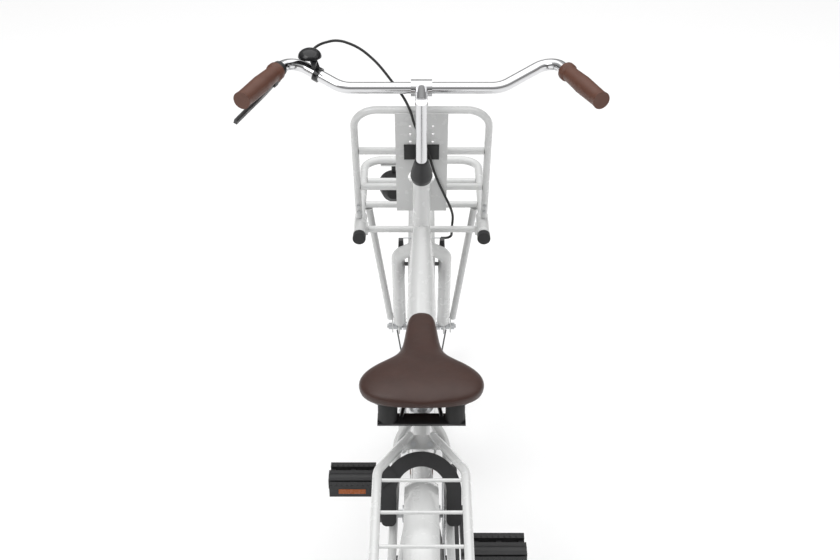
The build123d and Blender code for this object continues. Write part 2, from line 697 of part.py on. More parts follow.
def saddle_springs(pad):
    springs = []
    for side in (-1, 1):
        spring = rod(at(side * 55, -226, 694.2), at(side * 55, -226, 745), 16) - pad
        springs.append(min(spring.solids(), key=lambda s: s.center().Z))
    return springs


# --- Front frame ----------------------------------------------------------


def head_tube():
    return rod(steer(0, 0, HEAD_LOW), steer(0, 0, HEAD_TOP), HEAD_R, HEAD_R - 2.2)


def headset_cups():
    cups = []
    for a, b in ((HEAD_LOW - CUP_LEN, HEAD_LOW - 0.02), (HEAD_TOP + 0.02, HEAD_TOP + CUP_LEN)):
        cups.append(rod(steer(0, 0, a), steer(0, 0, b), CUP_R, STEERER_R + RUN))
    return cups


# --- Steering -------------------------------------------------------------


def fork_leg(side, r, low):
    points = [steer(side * 8, 0, 352), steer(side * LEG_X, 2, 322), steer(side * LEG_X, RAKE - 3, low)]
    return bent(points, 30, r)


def fork():
    body = rod(steer(0, 0, 338), steer(0, 0, 360.8), 18.5)
    for side in (-1, 1):
        body = body + fork_leg(side, FORK_R, 24)
    body = body - rod(steer(0, 0, 360.8), steer(0, 0, 400), 60) + rod(steer(0, 0, 350), steer(0, 0, 590), STEERER_R)
    for side in (-1, 1):
        body = body + rod(steer(side * BOSS_X, 14, BOSS_T), steer(side * BOSS_X, 31.6, BOSS_T), 7)
    for side in (-1, 1):
        body = body - fork_leg(side, FORK_R - FORK_WALL, 28)
    for side in (-1, 1):
        body = body + rod(steer(side * BOSS_X, 24, BOSS_T), steer(side * BOSS_X, 40.2, BOSS_T), 4)
        body = body + rod(steer(side * BOSS_X, 40.2, BOSS_T), steer(side * BOSS_X, 44, BOSS_T), 6.5)
        x0, x1 = sorted((side * FRONT_DROPOUT_X, side * (FRONT_DROPOUT_X + DROPOUT_T)))
        plate = STEER.location * block(x0, x1, RAKE - 14, RAKE + 11, -13, 34)
        body = body + (plate - disc(x0, x1, FRONT_Y, WHEEL_R, AXLE_R + RUN))
    body = body - rod(steer(0, 0, 364), steer(0, 0, 600), QUILL_R + RUN)
    return max(body.solids(), key=lambda s: s.volume)


def headset_cone():
    """Cover over the top bearing, with the bracket that holds the carrier's plate."""
    outline = [(STEERER_R + RUN, 575.2), (22, 575.2), (21, 584), (13.5, 617), (12, 620), (QUILL_R + GAP, 620)]
    outline += [(QUILL_R + GAP, 590.5), (STEERER_R + RUN, 590.5)]
    face = Plane.XZ * make_face(Polyline(*outline, close=True))
    cone = STEER.location * revolve(face, Axis.Z, 360)
    tongue = STEER.location * block(-8, 8, 15, 33, 588, 592)
    tab = STEER.location * block(-34.5, 34.5, 32, 34.9, 586, 626)
    return cone + tongue + tab


def hoop_points():
    low = HOOP_LOW
    return [steer(s * HOOP_X, RAKE, t) for s, t in ((-1, low), (-1, HOOP_TOP), (1, HOOP_TOP), (1, low))]


def front_hoop():
    pieces = [bent(hoop_points(), 45, HOOP_R, 1.2)]
    for t in (491, 597):
        ends = [steer(s * (HOOP_X - HOOP_R - 0.1), RAKE, t) for s in (-1, 1)]
        pieces.append(rod(ends[0], ends[1], HOOP_R, HOOP_R - 1.2))
    return pieces


def carrier_plate():
    front = RAKE - HOOP_R - 0.1
    plate = STEER.location * block(-PLATE_W / 2, PLATE_W / 2, front - 2.6, front, 427, HOOP_TOP)
    holes = [(x, t) for x in (-22, 22) for t in (611, 633, 654.5, 676)]
    for x, t in holes:
        plate = plate - STEER.location * Pos(x, front, t) * Rot(90, 0, 0) * Cylinder(3, 20)
    drop = Pos(0, 530) * Circle(27) + make_face(Polyline((-25.5, 539), (25.5, 539), (0, 578), close=True))
    cut = extrude(Plane.XZ * drop, amount=80, both=True)
    return plate - STEER.location * cut


def carrier_platform():
    """Bent platform tube, cross bars, rear sleeves with caps, and the two stays to the axle."""
    x, z, r = PLATFORM_X, PLATFORM_Z, 9.0
    rear, front = 425.0, 761.0
    points = [at(-x, rear, z), at(-x, front, z), at(x, front, z), at(x, rear, z)]
    pieces = [bent(points, 42, r, 1.5)]
    for y in (555, 661):
        pieces.append(rod(at(-x + r + 0.1, y, z), at(x - r - 0.1, y, z), 7, 5.8))
    pieces.append(rod(at(-112, 466, z - 9), at(112, 466, z - 9), 7, 5.8))
    for side in (-1, 1):
        sleeve = rod(at(side * x, rear, z), at(side * x, 505, z), 13, r + RUN)
        cap = rod(at(side * x, rear - 14, z), at(side * x, rear - 0.1, z), 13.5)
        link = block(*sorted((side * 112.1, side * 119)), BB_Y + 456, BB_Y + 476, z - 18, z + 2)
        link = link - rod(at(side * x, 400, z), at(side * x, 600, z), 13.05)
        pieces += [sleeve, cap, max(link.solids(), key=lambda s: s.volume)]
        top, low = at(side * 113, 553, z - 8.2), at(side * 72, 608, 324)
        stay = rod(low, top, STAY_R)
        stay = stay - rod(at(-x, 555, z), at(x, 555, z), 7.1) - rod(at(side * x, 400, z), at(side * x, 700, z), 9.1)
        tab = block(*sorted((side * 65.6, side * 68.4)), FRONT_Y - 10, FRONT_Y + 8, WHEEL_R - 12, 330)
        tab = tab - disc(-70, 70, FRONT_Y, WHEEL_R, AXLE_R + RUN)
        pieces.append(max((stay + tab).solids(), key=lambda s: s.volume))
    return pieces


def carrier_bolts():
    bolts = []
    for side in (-1, 1):
        for t in (421, 440):
            x = side * HOOP_X
            bolts.append(rod(steer(x, RAKE - HOOP_R - 3.5, t), steer(x, RAKE - HOOP_R - 0.1, t), 3.4))
    front = RAKE - HOOP_R - 2.7
    for x in (-22, 22):
        bolts.append(rod(steer(x, front + 2.7, 611), steer(x, front + 6.5, 611), 4.4))
    return bolts


def front_mudguard():
    guard = Pos(0, FRONT_Y, WHEEL_R) * mudguard(58, 202)
    rods = [guard_rod(FRONT_Y, 168, s, 56.3) for s in (-1, 1)]
    block_ = STEER.location * block(-8, 8, -8, 8, 300, 331)
    block_ = block_ - Pos(0, FRONT_Y, WHEEL_R) * Rot(0, 90, 0) * Cylinder(GUARD_R + 0.1, 60)
    return [guard, rods, block_]


def front_lamp():
    y, z, x = BB_Y + 716, 592.0, -64.0
    outline = [(0, 0), (14, 0), (26, 10), (33, 34), (34, 52), (31, 56), (0, 56)]
    face = Plane.XZ * make_face(Polyline(*outline, close=True))
    lamp = Plane(origin=(x, y, z), z_dir=(0, 1, 0)).location * revolve(face, Axis.Z, 360)
    hanger = rod((x, y + 45, z + 28), (x, y + 45, z + 50), 5)
    arm = block(x - 29, x + 17, y + 39, y + 51, z + 50, PLATFORM_Z - 9.05)
    return [lamp + hanger, arm]


def brake_arm(side):
    """V-brake arm with its pad, turning on the fork's boss."""
    o0 = ARM_O - ARM_T / 2 + 0.2
    plane = STEER.location
    x = side * BOSS_X
    top = BOSS_T + ARM_LEN
    outline = [(x - 8, BOSS_T - 9), (x + 8, BOSS_T - 9), (x + 8, BOSS_T + 20), (x + 5, top + 5), (x - 5, top + 5)]
    outline += [(x - 8, BOSS_T + 20)]
    arm = extrude(Plane.XZ * make_face(Polyline(*outline, close=True)), amount=-ARM_T + 0.4)
    arm = Pos(0, o0, 0) * arm
    pad_r = 247.0
    pad_t = math.sqrt(pad_r**2 - (ARM_O - RAKE) ** 2)
    stud = block(*sorted((side * 24, side * 40)), ARM_O - 3, ARM_O + 3, pad_t - 3, pad_t + 3)
    pad = block(*sorted((side * 15, side * 25)), ARM_O - 20, ARM_O + 20, pad_t - 4.5, pad_t + 4.5)
    arm = plane * (arm + stud + pad)
    arm = arm - rod(steer(x, 20, BOSS_T), steer(x, 60, BOSS_T), 4 + RUN)
    return arm


def noodle():
    """Bent guide tube on the right arm that takes the brake cable."""
    points = [steer(41, ARM_O + 7.6, 327), steer(64, ARM_O + 7.6, 327), steer(64, ARM_O + 4, 366)]
    return bent(points, 14, 2.75)


# --- Handlebar ------------------------------------------------------------


BAR = [(0, 375, 1009), (150, 375, 1009), (250, 424, 1046), (322, 262, 1038)]


def bar_points():
    right = [at(*p) for p in BAR[1:]]
    left = [at(-x, y, z) for x, y, z in reversed(BAR[1:])]
    return left + right


def handlebar(r, wall=0.0):
    return bent(bar_points(), [36, 60, 60, 36], r, wall)


def stem():
    top = steer(0, 0, QUILL_TOP)
    quill = rod(steer(0, 0, QUILL_LOW), top, QUILL_R)
    neck = rod(at(0, 309, 1007), at(0, 362, 1009), 12)
    clamp = rod(at(-20, 375, 1009), at(20, 375, 1009), 16)
    return quill + neck + clamp - rod(at(-30, 375, 1009), at(30, 375, 1009), BAR_R + RUN)


def grip_line(share):
    """A point on the left grip: share 0 is the bar's end."""
    end, corner = at(-322, 262, 1038), at(-250, 424, 1046)
    return end + (corner - end).normalized() * share


def grip():
    inner, end = grip_line(123), grip_line(-6)
    axis = end - inner
    outline = [(BAR_R + RUN, 0), (18, 0), (18, 8), (15, 12), (17.5, 60), (16, 118), (17, 129), (0, 129)]
    outline += [(0, 123.3), (BAR_R + RUN, 123.3)]
    face = Plane.XZ * make_face(Polyline(*outline, close=True))
    return Plane(origin=inner, z_dir=axis).location * revolve(face, Axis.Z, 360)


GRIP_DIR = (grip_line(0) - grip_line(123)).normalized()
LEVER_OUT = Vector(-10, 0, -27) - GRIP_DIR * Vector(-10, 0, -27).dot(GRIP_DIR)
LEVER = Plane(origin=grip_line(129.8), x_dir=GRIP_DIR, z_dir=GRIP_DIR.cross(LEVER_OUT.normalized()))
PIVOT = (6.0, 27.0)


def lever_mount():
    """Clamp on the bar with the lever's cheeks and the cable's exit barrel."""
    ring = Rot(0, 90, 0) * Cylinder(15, 12) - Rot(0, 90, 0) * Cylinder(BAR_R + RUN, 20)
    body = Pos(-3, 22, 0) * Box(16, 16, 12) - Rot(0, 90, 0) * Cylinder(13, 40)
    cheeks = Pos(PIVOT[0] - 1, 27, 5.4) * Box(14, 12, 2.4) + Pos(PIVOT[0] - 1, 27, -5.4) * Box(14, 12, 2.4)
    slot = Pos(PIVOT[0] + 1, 27, 0) * Box(16, 13, 8.4)
    pin = Pos(PIVOT[0], PIVOT[1], 0) * Cylinder(2, 13)
    barrel = Pos(-16, 22, 0) * Rot(0, 90, 0) * Cylinder(4, 12)
    return LEVER.location * (ring + body + cheeks - slot + pin + barrel)


def brake_lever():
    boss = Pos(PIVOT[0], PIVOT[1], 0) * Cylinder(4.5, 7.8)
    outline = [(4, 24), (16, 27), (40, 32), (100, 38), (128, 41), (140, 43)]
    back = [(s, n + 8) for s, n in reversed(outline)]
    blade = extrude(make_face(Polyline(*outline, *back, close=True)), amount=3.8, both=True)
    lever = boss + blade - Pos(PIVOT[0], PIVOT[1], 0) * Cylinder(2 + RUN, 20)
    return LEVER.location * max(lever.solids(), key=lambda s: s.volume)


BELL_SPOT = at(-197, 398, 1026.4)
BELL_DOME = at(-211, 404, 1060)
DOME_R = 22.5


def bell():
    """Clamp ring on the bar, a post and the dome, which sits a little outboard of the ring."""
    along = Vector(100, -49, -37).normalized()
    base = rod(BELL_SPOT - along * 5, BELL_SPOT + along * 5, 14.5, BAR_R + GAP)
    post = rod(BELL_SPOT + Vector(-2, 1, 12), BELL_DOME + Vector(4, -1, 2), 7)
    post = post - rod(BELL_SPOT - along * 30, BELL_SPOT + along * 30, 12.5)
    dome = Pos(*BELL_DOME) * scale(Sphere(DOME_R), (1, 1, 0.72))
    dome = dome & block(-300, -150, 200, 500, BELL_DOME.Z, BELL_DOME.Z + 30)
    return max((base + post + dome).solids(), key=lambda s: s.volume)


def bell_lever():
    """Thumb lever under the dome, pointing back towards the rider."""
    x, y, z = BELL_SPOT.X - 4, BELL_SPOT.Y, BELL_DOME.Z - 1
    return block(x - 4, x + 4, y - 38, y - 15, z - 4, z) + rod((x, y - 15, z - 4), (x, y - 15, z), 4)


CABLE = [at(-216, 447, 1050), at(-196, 450, 1066), at(-160, 440, 1080), at(-120, 432, 1068)]
CABLE += [at(-85, 424, 1040), at(-52, 404, 1003), at(-32, 374, 987), at(-20, 350, 971)]
CABLE += [steer(-14, 26, 692), steer(0, 26, 650), steer(14, 26, 611), steer(27, 28, 545)]
CABLE += [steer(44, 28, 492), steer(59, 30, 446), steer(66, 39, 405), steer(64, ARM_O + 4, 367.4)]


def cable_radii():
    radii = []
    for a, b, c in zip(CABLE, CABLE[1:], CABLE[2:]):
        turn = math.radians((b - a).get_angle(c - b))
        radii.append(0.45 * min((b - a).length, (c - b).length) / math.tan(turn / 2))
    return radii


def brake_cable():
    radii = cable_radii()
    print("cable bend radii", [round(r) for r in radii])
    cord = bent(CABLE, radii, 2.5)
    wire = rod(steer(-39, ARM_O + 7.6, 327), steer(40.8, ARM_O + 7.6, 327), 1.2)
    return [cord, wire]


# --- Drive ----------------------------------------------------------------


def crank_tip(side):
    """Pedal centre: the left crank points ahead and a little down."""
    a = math.radians(-17.9)
    return BB_Y - side * CRANK * math.cos(a), BB_Z - side * CRANK * math.sin(a)


def crank_arm(side):
    y, z = crank_tip(side)
    x0, x1 = sorted((side * CRANK_IN, side * CRANK_OUT))
    arm = disc(x0, x1, BB_Y, BB_Z, 17) + disc(x0, x1, y, z, 13)
    dy, dz = (y - BB_Y) / CRANK, (z - BB_Z) / CRANK
    bar = [(BB_Y - dz * 13, BB_Z + dy * 13), (y - dz * 10, z + dy * 10)]
    bar += [(y + dz * 10, z - dy * 10), (BB_Y + dz * 13, BB_Z - dy * 13)]
    arm = arm + side_plate(bar, x0, x1)
    arm = arm - disc(x0, x1, BB_Y, BB_Z, BB_AXLE_R + 0.02)
    spindle = sorted((side * (CRANK_OUT - 1), side * (PEDAL_X + 48)))
    return arm + disc(spindle[0], spindle[1], y, z, PEDAL_SPINDLE_R)


def chainring():
    ring = Pos(CHAIN_X, BB_Y, BB_Z) * toothed(RING_TEETH, RING_R, RING_R - 14)
    hub_disc = disc(CHAIN_X - 1.1, CHAIN_X + 1.1, BB_Y, BB_Z, 24)
    for i in range(5):
        arm = Rot(i * 72, 0, 0) * Pos(0, 0, 40) * Box(2.2, 14, 60)
        ring = ring + Pos(CHAIN_X, BB_Y, BB_Z) * arm
    ring = ring + hub_disc + disc(CHAIN_X, CRANK_IN - 0.05, BB_Y, BB_Z, 16)
    return ring - disc(30, 80, BB_Y, BB_Z, BB_AXLE_R + 0.02)


def pedal(side):
    y, z = crank_tip(side)
    x0, x1 = sorted((side * (PEDAL_X - 50), side * (PEDAL_X + 50)))
    barrel = disc(x0, x1, y, z, 13)
    body = barrel + block(x0, x1, y - 16, y + 16, z - 11, z + 11)
    for s in (-1, 1):
        rail = sorted((s * 24, s * 37.5))
        body = body + block(x0 + 3, x1 - 3, y + rail[0], y + rail[1], z - 14, z + 14)
    for x in (x0 + 3, (x0 + x1) / 2 - 5, x1 - 13):
        body = body + block(x, x + 10, y - 30, y + 30, z - 8, z + 8)
    return body - disc(x0 - 1, x1 + 1, y, z, PEDAL_SPINDLE_R + RUN)


def main():
    os.makedirs("parts", exist_ok=True)
    wheel("rear", REAR_Y, REAR_HUB_R, REAR_FLANGE_R, -44, 36)
    wheel("front", FRONT_Y, FRONT_HUB_R, FRONT_FLANGE_R, -43, 43)
    write("rear_axle", axle(REAR_Y, REAR_DROPOUT_X, 74, 63))
    write("front_axle", axle(FRONT_Y, FRONT_DROPOUT_X, 80, 57) + stay_nuts())
    write("seat_tube", seat_tube())
    write("bottom_bracket_cups", bottom_cups())
    write("rear_beam", rear_beam())
    write("front_beam", front_beam())
    write("fold_hinge_rear", hinge_half(-1))
    write("fold_hinge_front", hinge_front())
    write("fold_hinge_pin", hinge_pin())
    write("fold_latch", fold_latch())
    write("chainstays", chainstay(-1), chainstay(1))
    write("seat_stays", seat_stay(-1), seat_stay(1), stay_bridge())
    write("rear_mudguard", *rear_mudguard())
    write("rear_carrier", rear_carrier())
    write("chain_guard", chain_guard(), guard_arm())
    write("chain", chain())
    write("rear_sprocket", rear_sprocket())
    write("coaster_arm", coaster_arm(), coaster_strap())
    write("stand_bracket", stand_bracket())
    write("stand_legs", stand_legs())
    write("ring_lock_case", ring_lock_case())
    write("lock_bolt", lock_bolt())
    write("seat_clamp", seat_clamp())
    write("seat_clamp_lever", seat_clamp_lever())
    pad = saddle()
    write("seatpost", seatpost())
    write("saddle", pad)
    write("saddle_frame", saddle_frame(pad))
    write("saddle_springs", saddle_springs(pad))
    write("head_tube", head_tube())
    write("headset_cups", headset_cups())
    write("fork", fork())
    write("headset_cone", headset_cone())
    write("front_hoop", front_hoop())
    write("front_carrier_plate", carrier_plate())
    write("front_carrier_platform", carrier_platform())
    write("front_carrier_bolts", carrier_bolts())
    write("front_mudguard", *front_mudguard())
    write("front_lamp", front_lamp())
    write("brake_arm_left", brake_arm(-1))
    write("brake_arm_right", brake_arm(1), noodle())
    write("stem", stem())
    write("handlebar", handlebar(BAR_R, 1.6))
    write("grips", both(grip()))
    write("lever_mount", lever_mount())
    write("brake_lever", brake_lever())
    write("bell", bell())
    write("bell_lever", bell_lever())
    write("brake_cable", brake_cable())
    write("crank_arms", crank_arm(-1), crank_arm(1), disc(-CRANK_OUT, CRANK_OUT, BB_Y, BB_Z, BB_AXLE_R))
    write("chainring", chainring())
    write("pedal_left", pedal(-1))
    write("pedal_right", pedal(1))


main()
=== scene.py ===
# %% [markdown]
# # A white folding city bicycle
# The frame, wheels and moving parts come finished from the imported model. This lesson gives each of them a
# real finish, and adds what mesh work does better: the padded saddle, tyre tread, pedal teeth and
# reflectors.

# %% Load the model
import json
import math

import bmesh
import bpy
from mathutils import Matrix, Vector


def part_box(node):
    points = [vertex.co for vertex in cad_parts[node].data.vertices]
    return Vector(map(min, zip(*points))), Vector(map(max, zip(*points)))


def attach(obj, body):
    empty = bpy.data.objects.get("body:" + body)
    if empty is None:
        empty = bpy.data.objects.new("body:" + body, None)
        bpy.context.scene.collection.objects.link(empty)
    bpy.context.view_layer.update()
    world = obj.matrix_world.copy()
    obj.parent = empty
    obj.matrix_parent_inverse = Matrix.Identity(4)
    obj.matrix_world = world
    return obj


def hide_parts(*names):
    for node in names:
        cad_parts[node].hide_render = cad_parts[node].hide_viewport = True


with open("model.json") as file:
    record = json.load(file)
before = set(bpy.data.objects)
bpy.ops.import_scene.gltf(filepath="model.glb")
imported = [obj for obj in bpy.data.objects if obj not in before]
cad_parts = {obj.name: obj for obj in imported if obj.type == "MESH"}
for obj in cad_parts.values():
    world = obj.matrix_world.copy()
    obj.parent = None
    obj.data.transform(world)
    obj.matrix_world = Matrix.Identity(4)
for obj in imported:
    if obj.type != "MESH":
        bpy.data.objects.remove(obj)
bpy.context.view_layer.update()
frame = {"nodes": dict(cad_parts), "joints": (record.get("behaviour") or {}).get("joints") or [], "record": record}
MM = 0.001

# %% [markdown]
# Places are read from the model wherever it holds them, so a changed size moves the finishes too. The
# steering axis and the seat stays tilt, so distances from them are worked out with dot products.

# %% Places taken from the model
joints = {j["name"]: j for j in frame["joints"]}


def middle(node):
    low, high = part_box(node)
    return (low + high) / 2


rear_axle = middle("rear_hub")
front_axle = middle("front_hub")
rear_axle.x = front_axle.x = 0
steer_axis = Vector(joints["steering_turn"]["axis"]).normalized()
axis_point = Vector(joints["front_wheel_spin"]["pos_m"])
stay_out = Vector(joints["lock_close"]["axis"]).normalized()
tyre_low, tyre_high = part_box("rear_tyre")
wheel_r = (tyre_high.z - tyre_low.z) / 2
tyre_w = tyre_high.x - tyre_low.x
print("wheel radius", round(wheel_r, 4), "axles", rear_axle[:], front_axle[:])

# %% [markdown]
# Shader maths reads best as ordinary arithmetic. A `Wire` wraps one socket, so `1 - mask` adds a Math
# node, and a `Finish` is one material with a single method that adds any other node.

# %% Wires and finishes


class Wire:
    """A node's output that can be used in a sum."""

    def __init__(self, finish, socket):
        self.finish = finish
        self.socket = socket

    def _math(self, operation, a, b=None):
        inputs = {0: a} if b is None else {0: a, 1: b}
        return self.finish.add("ShaderNodeMath", {"operation": operation}, inputs)

    def __add__(self, other):
        return self._math("ADD", self, other)

    __radd__ = __add__

    def __sub__(self, other):
        return self._math("SUBTRACT", self, other)

    def __rsub__(self, other):
        return self._math("SUBTRACT", other, self)

    def __mul__(self, other):
        return self._math("MULTIPLY", self, other)

    __rmul__ = __mul__

    def __gt__(self, other):
        return self._math("GREATER_THAN", self, other)

    def __lt__(self, other):
        return self._math("LESS_THAN", self, other)

    def size(self):
        return self._math("ABSOLUTE", self)

    def repeat(self):
        return self._math("FRACT", self)


class Finish:
    """One material built on the Principled shader."""

    def __init__(self, name, **settings):
        self.material = bpy.data.materials.new(name)
        self.material.use_nodes = True
        self.tree = self.material.node_tree
        self.shader = self.tree.nodes["Principled BSDF"]
        for key, value in settings.items():
            self.shader.inputs[key.replace("_", " ")].default_value = value

    def add(self, kind, settings=None, inputs=None, output=0):
        """Any node: its settings first, then the values or links of its sockets."""
        node = self.tree.nodes.new(kind)
        for key, value in (settings or {}).items():
            setattr(node, key, value)
        for key, value in (inputs or {}).items():
            if isinstance(value, Wire):
                self.tree.links.new(value.socket, node.inputs[key])
            else:
                node.inputs[key].default_value = value
        return Wire(self, node.outputs[output])

    def place(self):
        return self.add("ShaderNodeTexCoord", output="Object")

    def axes(self):
        parts = self.add("ShaderNodeSeparateXYZ", inputs={0: self.place()})
        return [Wire(self, socket) for socket in parts.socket.node.outputs]

    def noise(self, scale, detail=3.0):
        inputs = {"Vector": self.place(), "Scale": scale, "Detail": detail}
        return self.add("ShaderNodeTexNoise", inputs=inputs)

    def cells(self, scale):
        return self.add("ShaderNodeTexVoronoi", inputs={"Vector": self.place(), "Scale": scale})

    def mix(self, factor, a, b):
        node = {"data_type": "RGBA"}
        return self.add("ShaderNodeMix", node, {0: factor, 6: a, 7: b}, output=2)

    def feed(self, name, wire):
        self.tree.links.new(wire.socket, self.shader.inputs[name])

    def bump(self, height, strength, distance):
        sockets = {"Height": height, "Strength": strength, "Distance": distance}
        self.feed("Normal", self.add("ShaderNodeBump", inputs=sockets))


def rgba(r, g, b):
    return (r, g, b, 1.0)


print("finish tools ready")

# %% [markdown]
# Powder-coated steel is smooth but never flat: it has a faint orange-peel ripple and slightly uneven
# gloss. Both are one fine noise, used once for roughness and once for bump.

# %% Painted and bare metals


def painted(name, colour, roughness):
    finish = Finish(name, Base_Color=colour, Coat_Weight=0.5, Coat_Roughness=0.06)
    finish.feed("Roughness", finish.noise(60) * 0.12 + roughness)
    finish.bump(finish.noise(420, 2), 0.06, 0.0002)
    return finish


def bare_metal(name, colour, roughness, smudge, grain):
    finish = Finish(name, Base_Color=colour, Metallic=1.0)
    finish.feed("Roughness", finish.noise(45) * smudge + roughness)
    finish.bump(finish.noise(grain, 2), 0.05, 0.0001)
    return finish


WHITE = rgba(0.64, 0.645, 0.64)
white = painted("white_paint", WHITE, 0.2).material
black_paint = painted("black_paint", rgba(0.012, 0.012, 0.013), 0.3).material
chrome = bare_metal("chrome_plate", rgba(0.68, 0.68, 0.69), 0.05, 0.07, 300).material
zinc = bare_metal("zinc_plate", rgba(0.55, 0.56, 0.57), 0.28, 0.2, 900).material
alloy = bare_metal("brushed_alloy", rgba(0.68, 0.69, 0.7), 0.22, 0.18, 700).material
steel = bare_metal("spoke_steel", rgba(0.62, 0.62, 0.63), 0.16, 0.12, 800).material
print("metals", [m.name for m in (white, black_paint, chrome, zinc, alloy, steel)])

# %% [markdown]
# Leather-look covers have a pebbled grain of about a millimetre. Voronoi cells give the pebbles, and a
# broad noise shifts the brown between worn and fresh.

# %% Leather, rubber and plastics


def leather(name, dark, light):
    finish = Finish(name, Specular_IOR_Level=0.45)
    pebbles = finish.cells(720)
    finish.feed("Base Color", finish.mix(finish.noise(28, 5), dark, light))
    finish.feed("Roughness", finish.noise(90) * 0.16 + 0.36)
    finish.bump(pebbles + finish.noise(1500, 2) * 0.35, 0.32, 0.0004)
    return finish


def moulded(name, colour, roughness, grain):
    finish = Finish(name, Base_Color=colour)
    finish.feed("Roughness", finish.noise(120) * 0.14 + roughness)
    finish.bump(finish.noise(grain, 2), 0.12, 0.0002)
    return finish


saddle_leather = leather("saddle_leather", rgba(0.030, 0.012, 0.008), rgba(0.055, 0.022, 0.015)).material
grip_leather = leather("grip_leather", rgba(0.085, 0.032, 0.019), rgba(0.13, 0.052, 0.032)).material
black_plastic = moulded("black_plastic", rgba(0.014, 0.014, 0.015), 0.38, 1300).material
gloss_black = moulded("gloss_black", rgba(0.008, 0.008, 0.009), 0.08, 200).material
rubber = moulded("black_rubber", rgba(0.018, 0.018, 0.018), 0.62, 900).material
amber = moulded("amber_reflector", rgba(0.34, 0.08, 0.008), 0.2, 500).material
red = moulded("red_reflector", rgba(0.42, 0.008, 0.008), 0.14, 500).material
print("covers and plastics ready")

# %% [markdown]
# The main beam carries a plain row of brown dashes down each flank. They follow the line through the
# middles of the beam's two halves, and only on the sides, so the top stays white.

# %% Beam paint with dashes
beam_low, beam_high = middle("rear_beam"), middle("front_beam")
beam_dir = (beam_high - beam_low).normalized()
DASH_PITCH = 26 * MM
DASH_HALF = 5 * MM
DASH_SIDE = 16 * MM

beam_finish = painted("beam_paint", WHITE, 0.2)
x, y, z = beam_finish.axes()
along = (y - beam_low.y) * beam_dir.y + (z - beam_low.z) * beam_dir.z
across = (y - beam_low.y) * beam_dir.z - (z - beam_low.z) * beam_dir.y
on_dash = ((along * (1 / DASH_PITCH)).repeat() < 0.62) * (across.size() < DASH_HALF) * (x.size() > DASH_SIDE)
beam_finish.feed("Base Color", beam_finish.mix(on_dash, WHITE, rgba(0.2, 0.09, 0.055)))
beam_paint = beam_finish.material
print("dash pitch", DASH_PITCH)

# %% [markdown]
# A node can hold several pieces with different finishes, such as white guard and black stays. The mesh
# stays as it is: each face only gets the number of the finish that it wears, chosen from where the face
# is.

# %% Give each node its finish


def dress(node, base, *others):
    """The base finish everywhere, and each other finish where its test is true for a face's middle."""
    mesh = frame["nodes"][node].data
    mesh.materials.clear()
    for material in (base, *(m for m, _ in others)):
        mesh.materials.append(material)
    if not others:
        mesh.polygons.foreach_set("material_index", [0] * len(mesh.polygons))
        return
    for face in mesh.polygons:
        face.material_index = 0
        for number, (_, test) in enumerate(others, 1):
            if test(face.center):
                face.material_index = number


def up_steering(p):
    return (p - axis_point).dot(steer_axis)


NOODLE_TOP = 350 * MM
GUARD_EDGE = 29.5 * MM
GUARD_ABOVE_TYRE = 20 * MM
REFLECTOR_PROUD = 0.2 * MM
CRANK_FACES = (71.9 * MM, 86.1 * MM)
LAMP_CAP = 4.1 * MM
SLEEVE_LENGTH = 14 * MM
CARRIER_PLATE_BACK = 8.05 * MM
CARRIER_BOLT_SPAN = 20 * MM

guard_outer = wheel_r + GUARD_ABOVE_TYRE
lamp_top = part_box("front_lamp")[1].z - LAMP_CAP
sleeve_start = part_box("front_carrier_platform")[0].y + SLEEVE_LENGTH
stays_middle = middle("seat_stays").y


def on_guard_stay(p):
    return abs(p.x) > GUARD_EDGE


def on_rear_reflector(p):
    return (p - rear_axle).yz.length > guard_outer + REFLECTOR_PROUD and not on_guard_stay(p)


def on_carrier_bolt(p):
    behind = (p - rear_axle).dot(stay_out) > CARRIER_PLATE_BACK
    return behind and abs(p.x) < CARRIER_BOLT_SPAN and p.y > stays_middle


def on_crank_axle(p):
    return not CRANK_FACES[0] <= abs(p.x) <= CRANK_FACES[1]


FINISHES = {
    "white_paint": white, "black_metal": black_paint, "chrome": chrome, "zinc": zinc, "alloy": alloy,
    "spoke": steel, "tyre": rubber, "black_plastic": black_plastic, "gloss_black": gloss_black,
    "leather": grip_leather, "rubber": rubber,
}
for part in frame["record"]["subparts"]:
    dress(part["node"], FINISHES[part["material_slot"]])

dress("rear_beam", beam_paint)
dress("front_beam", beam_paint)
dress("rear_mudguard", white, (black_paint, on_guard_stay), (red, on_rear_reflector))
dress("front_mudguard", white, (black_paint, on_guard_stay))
dress("front_carrier_platform", white, (black_plastic, lambda p: p.y < sleeve_start))
dress("rear_carrier", white, (zinc, on_carrier_bolt))
dress("crank_arms", black_paint, (zinc, on_crank_axle))
dress("front_lamp", black_plastic, (white, lambda p: p.z > lamp_top))
dress("brake_cable", rubber, (zinc, lambda p: up_steering(p) < NOODLE_TOP))

# %% [markdown]
# The saddle is foam under a tight cover, wide at the back with a shallow valley for the spine and a long
# nose. Its skin is a stack of rounded rings, and a subdivision surface draws it smooth, as the moulded
# foam does.

# %% Saddle pad
saddle_low, saddle_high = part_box("saddle")
saddle_len = saddle_high.y - saddle_low.y
saddle_half = (saddle_high.x - saddle_low.x) / 2
saddle_top = saddle_high.z
RING_POINTS = 28
# Share of the length from the nose, share of the half width, top below the highest point, thickness
RINGS = [
    (0.00, 0.10, 30, 9), (0.035, 0.20, 25, 20), (0.12, 0.25, 23, 32), (0.26, 0.28, 21, 38),
    (0.40, 0.33, 19, 42), (0.50, 0.46, 15, 44), (0.59, 0.74, 9, 47), (0.68, 0.93, 5, 49),
    (0.78, 0.99, 2, 49), (0.88, 0.93, 1, 45), (0.95, 0.74, 4, 34), (1.00, 0.42, 14, 14),
]
VALLEY = 4.5 * MM
VALLEY_START = 0.5
VALLEY_WIDTH = 0.24
SIDE_ROUND, TOP_ROUND, UNDER_ROUND = 0.82, 0.9, 0.55


